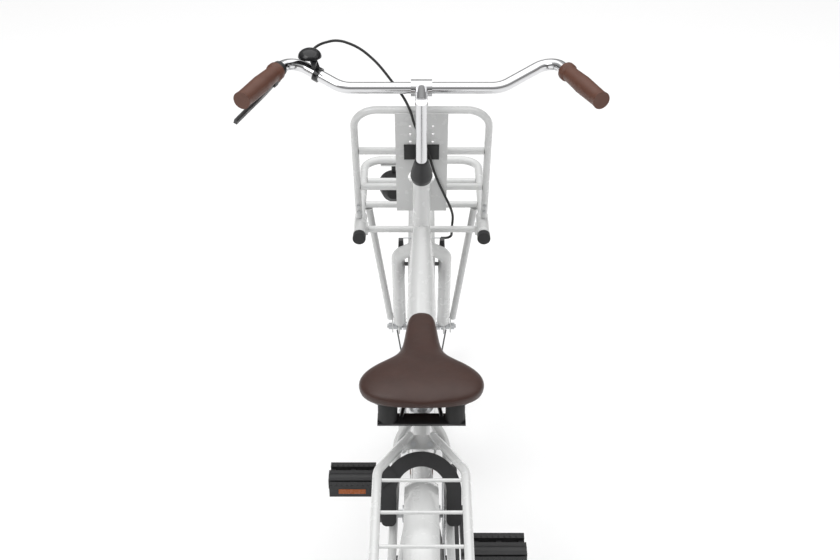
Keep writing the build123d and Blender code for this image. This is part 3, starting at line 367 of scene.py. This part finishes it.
def saddle_ring(share, width, drop, thick):
    """One closed loop round the saddle, squarer below than above."""
    y = saddle_high.y - share * saddle_len
    top = saddle_top - drop * MM
    loop = []
    for i in range(RING_POINTS):
        a = 2 * math.pi * i / RING_POINTS
        side, rise = math.sin(a), math.cos(a)
        x = saddle_half * width * math.copysign(abs(side) ** SIDE_ROUND, side)
        roundness = TOP_ROUND if rise > 0 else UNDER_ROUND
        z = top - thick * MM / 2 + thick * MM / 2 * math.copysign(abs(rise) ** roundness, rise)
        dip = 0.0
        if rise > 0:
            fade = math.exp(-((x / (saddle_half * VALLEY_WIDTH)) ** 2))
            dip = VALLEY * max(0.0, share - VALLEY_START) * 2 * fade
        loop.append(Vector((x, y, z - dip)))
    return loop


def skin(name, loops):
    """A closed skin over a stack of loops, with a fan at each end."""
    shape = bmesh.new()
    rows = [[shape.verts.new(p) for p in loop] for loop in loops]
    for a, b in zip(rows, rows[1:]):
        for i in range(len(a)):
            j = (i + 1) % len(a)
            shape.faces.new((a[i], a[j], b[j], b[i]))
    for row in (rows[0], rows[-1]):
        shape.faces.new(row)
    bmesh.ops.recalc_face_normals(shape, faces=shape.faces)
    mesh = bpy.data.meshes.new(name)
    shape.to_mesh(mesh)
    shape.free()
    for face in mesh.polygons:
        face.use_smooth = True
    piece = bpy.data.objects.new(name, mesh)
    bpy.context.scene.collection.objects.link(piece)
    return piece


saddle = skin("saddle_pad", [saddle_ring(*ring) for ring in RINGS])
smooth = saddle.modifiers.new("smooth", "SUBSURF")
smooth.levels = smooth.render_levels = 2
saddle.data.materials.append(saddle_leather)
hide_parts("saddle")
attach(saddle, "seat")
print("saddle", round(saddle_len, 3), "x", round(2 * saddle_half, 3))

# %% [markdown]
# The cover is stapled under a black plastic base, whose rim shows as a dark line below the leather. It is
# a thin band that follows the widest line of the pad's lower half.

# %% Saddle base rim
RIM_DROP = 6 * MM
rim_line = [saddle_ring(*ring) for ring in RINGS[1:-1]]
right = [loop[round(RING_POINTS * 0.34)] for loop in rim_line]
left = [loop[round(RING_POINTS * 0.66)] for loop in rim_line]
outline = right + left[::-1]


def rim_section(point, centre):
    """A small square section that stands on the outline, a little inside it."""
    inward = (centre - point).normalized()
    drop = Vector((0, 0, -1))
    return [point + inward * i * MM + drop * d for i, d in ((1, 0), (7, 0), (7, RIM_DROP), (1, RIM_DROP))]


rim_centre = sum(outline, Vector()) / len(outline)
rim = bmesh.new()
sections = [[rim.verts.new(p) for p in rim_section(point, rim_centre)] for point in outline]
for a, b in zip(sections, sections[1:] + sections[:1]):
    for i in range(4):
        j = (i + 1) % 4
        rim.faces.new((a[i], a[j], b[j], b[i]))
bmesh.ops.recalc_face_normals(rim, faces=rim.faces)
rim_mesh = bpy.data.meshes.new("saddle_rim")
rim.to_mesh(rim_mesh)
rim.free()
saddle_rim = bpy.data.objects.new("saddle_rim", rim_mesh)
bpy.context.scene.collection.objects.link(saddle_rim)
rim_smooth = saddle_rim.modifiers.new("smooth", "SUBSURF")
rim_smooth.levels = rim_smooth.render_levels = 1
rim_mesh.materials.append(black_plastic)
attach(saddle_rim, "seat")
print("rim sections", len(outline))

# %% [markdown]
# Tyre tread is one small block repeated round the wheel. Geometry Nodes place it: a circle gives the
# places, the circle's tangent turns each block, and Realize Instances makes the result a plain mesh.

# %% A tree that repeats a block round a wheel


def tread_tree(name):
    """Blocks on a circle in the yz plane, with named inputs for its sizes."""
    tree = bpy.data.node_groups.new(name, "GeometryNodeTree")
    face = tree.interface
    face.new_socket("Geometry", in_out="OUTPUT", socket_type="NodeSocketGeometry")
    for label, kind in (("Radius", "Float"), ("Count", "Int"), ("Sideways", "Float"), ("Block", "Vector")):
        face.new_socket(label, in_out="INPUT", socket_type="NodeSocket" + kind)
    face.new_socket("Finish", in_out="INPUT", socket_type="NodeSocketMaterial")
    make = tree.nodes.new
    join = tree.links.new
    inputs, output = make("NodeGroupInput"), make("NodeGroupOutput")
    circle = make("GeometryNodeCurvePrimitiveCircle")
    join(inputs.outputs["Count"], circle.inputs["Resolution"])
    join(inputs.outputs["Radius"], circle.inputs["Radius"])
    turn = make("GeometryNodeTransform")
    turn.inputs["Rotation"].default_value = (0, math.pi / 2, 0)
    join(circle.outputs["Curve"], turn.inputs["Geometry"])
    aside = make("ShaderNodeCombineXYZ")
    join(inputs.outputs["Sideways"], aside.inputs["X"])
    join(aside.outputs[0], turn.inputs["Translation"])
    block = make("GeometryNodeMeshCube")
    join(inputs.outputs["Block"], block.inputs["Size"])
    spread = make("GeometryNodeInstanceOnPoints")
    points = make("GeometryNodeCurveToPoints")
    points.mode = "EVALUATED"
    join(turn.outputs[0], points.inputs["Curve"])
    join(points.outputs["Points"], spread.inputs["Points"])
    join(block.outputs["Mesh"], spread.inputs["Instance"])
    aligned = make("FunctionNodeAlignRotationToVector")
    aligned.axis = "Y"
    aligned.pivot_axis = "X"
    join(points.outputs["Tangent"], aligned.inputs["Vector"])
    join(aligned.outputs[0], spread.inputs["Rotation"])
    real, coat = make("GeometryNodeRealizeInstances"), make("GeometryNodeSetMaterial")
    join(spread.outputs[0], real.inputs[0])
    join(real.outputs[0], coat.inputs["Geometry"])
    join(inputs.outputs["Finish"], coat.inputs["Material"])
    join(coat.outputs[0], output.inputs[0])
    return tree


def grown(name, tree, values):
    """The tree's result as a plain mesh, with the modifier gone."""
    holder = bpy.data.objects.new(name + "_holder", bpy.data.meshes.new(name + "_holder"))
    bpy.context.scene.collection.objects.link(holder)
    growth = holder.modifiers.new("growth", "NODES")
    growth.node_group = tree
    for item in tree.interface.items_tree:
        if item.in_out == "INPUT" and item.name in values:
            growth[item.identifier] = values[item.name]
    seen = holder.evaluated_get(bpy.context.evaluated_depsgraph_get())
    mesh = bpy.data.meshes.new_from_object(seen)
    bpy.data.objects.remove(holder)
    mesh.name = name
    return mesh


tread = tread_tree("tread_blocks")
print("tread inputs", [i.name for i in tread.interface.items_tree])

# %% [markdown]
# A city tyre has a closed centre row and smaller shoulder blocks. Each row is the same tree with other
# sizes, and the rows of one tyre are joined into one piece that turns with its wheel.

# %% Tread on both tyres
TREAD_COUNT = 96
TREAD_RISE = 0.7 * MM
TREAD_HALF_DEPTH = 1.2 * MM
CAP_R = tyre_w / 2
SHOULDER = math.radians(38)
ROWS = [(0.0, 1.0, (7, 11)), (CAP_R * math.sin(SHOULDER), math.cos(SHOULDER), (5, 8)),
        (-CAP_R * math.sin(SHOULDER), math.cos(SHOULDER), (5, 8))]


def tread_for(name, axle, body):
    shape = bmesh.new()
    for sideways, lift, (wide, long) in ROWS:
        radius = wheel_r - CAP_R + CAP_R * lift - TREAD_HALF_DEPTH + TREAD_RISE
        values = {"Radius": radius, "Count": TREAD_COUNT, "Sideways": sideways, "Finish": rubber}
        values["Block"] = (wide * MM, long * MM, 2 * TREAD_HALF_DEPTH)
        shape.from_mesh(grown(name + "_row", tread, values))
    mesh = bpy.data.meshes.new(name)
    for vert in shape.verts:
        vert.co += axle
    shape.to_mesh(mesh)
    shape.free()
    mesh.materials.append(rubber)
    piece = bpy.data.objects.new(name, mesh)
    bpy.context.scene.collection.objects.link(piece)
    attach(piece, body)
    return piece


rear_tread = tread_for("rear_tread", rear_axle, "rear_wheel")
front_tread = tread_for("front_tread", front_axle, "front_wheel")
print("tread faces", len(rear_tread.data.polygons), len(front_tread.data.polygons))

# %% [markdown]
# A pedal grips the shoe with rows of small teeth along its two rails, and carries an amber reflector in
# its front and back edge. Both are rounded blocks, set a little into the rail so that none can float.

# %% Pedal teeth and reflectors
REFLECTOR = Vector((56, 4, 12)) * MM
PROUD = 1.2 * MM
TOOTH = Vector((4, 9, 2.4)) * MM
TOOTH_ROUND = 0.5 * MM
REFLECTOR_ROUND = 1.2 * MM
TEETH = 9
RAIL_WIDTH = 13.5 * MM
RAIL_INSET = 3 * MM


def rounded_blocks(name, centres, size, round_by, material, body):
    """One piece made of a rounded block at each centre."""
    shape = bmesh.new()
    for centre in centres:
        made = bmesh.ops.create_cube(shape, size=1)["verts"]
        for vert in made:
            vert.co = Vector(c * s for c, s in zip(vert.co, size)) + centre
    bmesh.ops.bevel(shape, geom=shape.edges[:], offset=round_by, segments=2, affect="EDGES", profile=0.5)
    mesh = bpy.data.meshes.new(name)
    shape.to_mesh(mesh)
    shape.free()
    mesh.materials.append(material)
    piece = bpy.data.objects.new(name, mesh)
    bpy.context.scene.collection.objects.link(piece)
    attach(piece, body)


def tooth_places(low, high):
    """Along both rails, above and below."""
    start, end = low.x + RAIL_INSET + TOOTH.x, high.x - RAIL_INSET - TOOTH.x
    for i in range(TEETH):
        x = start + (end - start) * i / (TEETH - 1)
        for y in (low.y + RAIL_WIDTH / 2, high.y - RAIL_WIDTH / 2):
            for z in (low.z, high.z):
                yield Vector((x, y, z))


for side in ("left", "right"):
    low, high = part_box("pedal_" + side)
    body = side + "_pedal"
    teeth = tooth_places(low, high)
    rounded_blocks(body + "_teeth", teeth, TOOTH, TOOTH_ROUND, black_plastic, body)
    mid = (low + high) / 2
    back, front = low.y - PROUD + REFLECTOR.y / 2, high.y + PROUD - REFLECTOR.y / 2
    ends = [Vector((mid.x, y, mid.z)) for y in (back, front)]
    rounded_blocks(body + "_reflectors", ends, REFLECTOR, REFLECTOR_ROUND, amber, body)
print("pedals finished")

# %% [markdown]
# The floor is white and so is the bicycle, so the light has to draw its edges. The sky is bright overhead
# and dark at the horizon: upper faces stay white, upright faces turn grey, and the chrome has something
# dark to reflect.

# %% Floor, light and camera
FLOOR_HALF = 12.0
FLOOR_DROP = 1 * MM
SKY_HORIZON, SKY_ZENITH = 0.06, 1.1
SKY_STRENGTH = 0.85
OVERHEAD_AIM = (0, 0.5, 0)
SIDE_AIM = (0, 0, 0.6)
CAMERA_PLACE = (0, -2.006, 2.045)
CAMERA_TILT = math.radians(57.3)
CAMERA_LENS = 56.3
CAMERA_SHIFT = -0.0018

corners = [(-1, -1), (1, -1), (1, 1), (-1, 1)]
floor_mesh = bpy.data.meshes.new("floor")
floor_corners = [(x * FLOOR_HALF, y * FLOOR_HALF, -FLOOR_DROP) for x, y in corners]
floor_mesh.from_pydata(floor_corners, [], [(0, 1, 2, 3)])
floor = bpy.data.objects.new("floor", floor_mesh)
bpy.context.scene.collection.objects.link(floor)
pale = Finish("pale_floor", Base_Color=rgba(0.97, 0.97, 0.97), Roughness=0.9)
floor_mesh.materials.append(pale.material)

world = bpy.context.scene.world or bpy.data.worlds.new("studio")
bpy.context.scene.world = world
world.use_nodes = True
sky = world.node_tree
direction = sky.nodes.new("ShaderNodeTexCoord")
parts = sky.nodes.new("ShaderNodeSeparateXYZ")
ramp = sky.nodes.new("ShaderNodeMapRange")
ramp.inputs["To Min"].default_value = SKY_HORIZON
ramp.inputs["To Max"].default_value = SKY_ZENITH
sky.links.new(direction.outputs["Generated"], parts.inputs[0])
sky.links.new(parts.outputs["Z"], ramp.inputs["Value"])
sky.links.new(ramp.outputs[0], sky.nodes["Background"].inputs["Color"])
sky.nodes["Background"].inputs["Strength"].default_value = SKY_STRENGTH
bpy.context.scene.view_settings.view_transform = "Standard"


def soft_light(name, place, aim, size, power):
    lamp = bpy.data.lights.new(name, "AREA")
    lamp.size = size
    lamp.energy = power
    holder = bpy.data.objects.new(name, lamp)
    holder.location = place
    holder.rotation_euler = (Vector(aim) - Vector(place)).to_track_quat("-Z", "Y").to_euler()
    bpy.context.scene.collection.objects.link(holder)


soft_light("overhead", (0, 0.5, 5.0), OVERHEAD_AIM, 8.0, 190)
soft_light("key", (-2.2, -1.6, 3.2), SIDE_AIM, 2.4, 36)
soft_light("fill", (2.6, -0.4, 2.6), SIDE_AIM, 2.6, 12)

camera_data = bpy.data.cameras.new("camera")
camera_data.lens = CAMERA_LENS
camera_data.sensor_width = 36.0
camera_data.shift_x = CAMERA_SHIFT
camera = bpy.data.objects.new("camera", camera_data)
camera.location = CAMERA_PLACE
camera.rotation_euler = (CAMERA_TILT, 0, 0)
bpy.context.scene.collection.objects.link(camera)
bpy.context.scene.camera = camera
print("studio ready")

# %% [markdown]
# The view layer is brought up to date once more, so every placed piece is current.

# %% Bring the scene up to date
bpy.context.view_layer.update()
